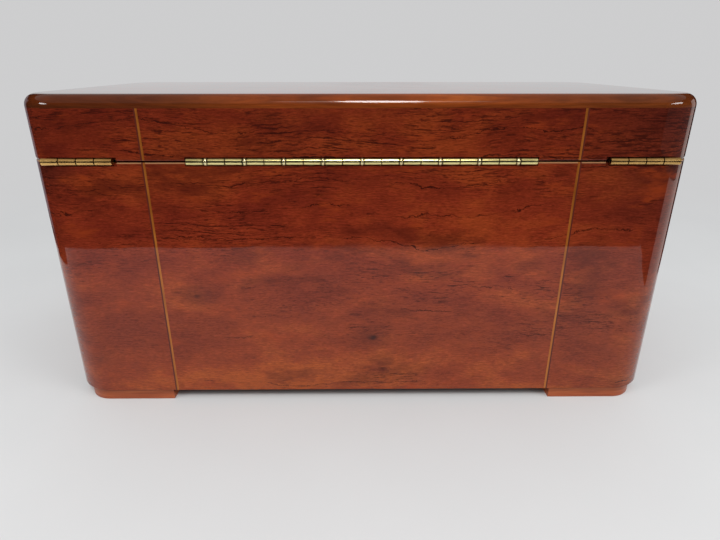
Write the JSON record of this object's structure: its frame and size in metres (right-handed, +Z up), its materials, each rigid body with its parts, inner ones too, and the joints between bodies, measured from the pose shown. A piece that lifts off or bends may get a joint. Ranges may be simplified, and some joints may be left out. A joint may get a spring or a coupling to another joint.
{
  "type": "keepsake box",
  "caption": "Rectangular lacquered wood box with rounded upright corners, corner feet, string inlays and a lift-up lid on brass barrel hinges.",
  "frame": {"origin": "centre of the bounding box on the surface that the feet stand on", "axes": "+Z up, the front looks to -Y, the hinge line lies along +Y, X runs left to right"},
  "size_m": [0.36, 0.1834, 0.181],
  "materials": {
    "veneer": "figured red-brown veneer under gloss lacquer",
    "edging": "striped brown solid wood under gloss lacquer",
    "foot_wood": "plain red-brown wood, satin lacquer",
    "string_inlay": "light orange-yellow wood under gloss lacquer",
    "suede": "soft tan suede cloth",
    "base_board": "plain plywood",
    "base_felt": "dark green felt",
    "bumper_felt": "brown felt",
    "bright_brass": "bright pale brass",
    "aged_brass": "darker golden brass",
    "screw_brass": "plain brass"
  },
  "bodies": {
    "body": {"base_felt": "base_felt", "base_panel": "base_board", "body_back_inlays": "string_inlay", "body_back_panel": "veneer", "body_front_inlays": "string_inlay", "body_front_panel": "veneer", "body_hinge_screws": "screw_brass", "body_left_panel": "veneer", "body_right_panel": "veneer", "centre_hinge_lower_leaf": "bright_brass", "centre_hinge_pin": "bright_brass", "foot_back_left": "foot_wood", "foot_back_right": "foot_wood", "foot_front_left": "foot_wood", "foot_front_right": "foot_wood", "left_hinge_lower_leaf": "aged_brass", "left_hinge_pin": "aged_brass", "liner_back": "suede", "liner_floor": "suede", "liner_front": "suede", "liner_left": "suede", "liner_right": "suede", "right_hinge_lower_leaf": "aged_brass", "right_hinge_pin": "aged_brass", "rim_bumpers": "bumper_felt"},
    "lid": {"lid_back_inlays": "string_inlay", "lid_back_rail": "veneer", "lid_front_inlays": "string_inlay", "lid_front_rail": "veneer", "lid_left_rail": "veneer", "lid_right_rail": "veneer", "lid_top_panel": "veneer", "lid_edging_back": "edging", "lid_edging_front": "edging", "lid_edging_left": "edging", "lid_edging_right": "edging", "lid_liner": "suede", "lid_hinge_screws": "screw_brass", "centre_hinge_upper_leaf": "bright_brass", "left_hinge_upper_leaf": "aged_brass", "right_hinge_upper_leaf": "aged_brass"}
  },
  "joints": [
    {"name": "lid", "type": "hinge", "parent": "body", "child": "lid", "pos_m": [0, 0.08958, 0.1475], "axis": [-1, 0, 0], "range_deg": [0, 98]}
  ]
}
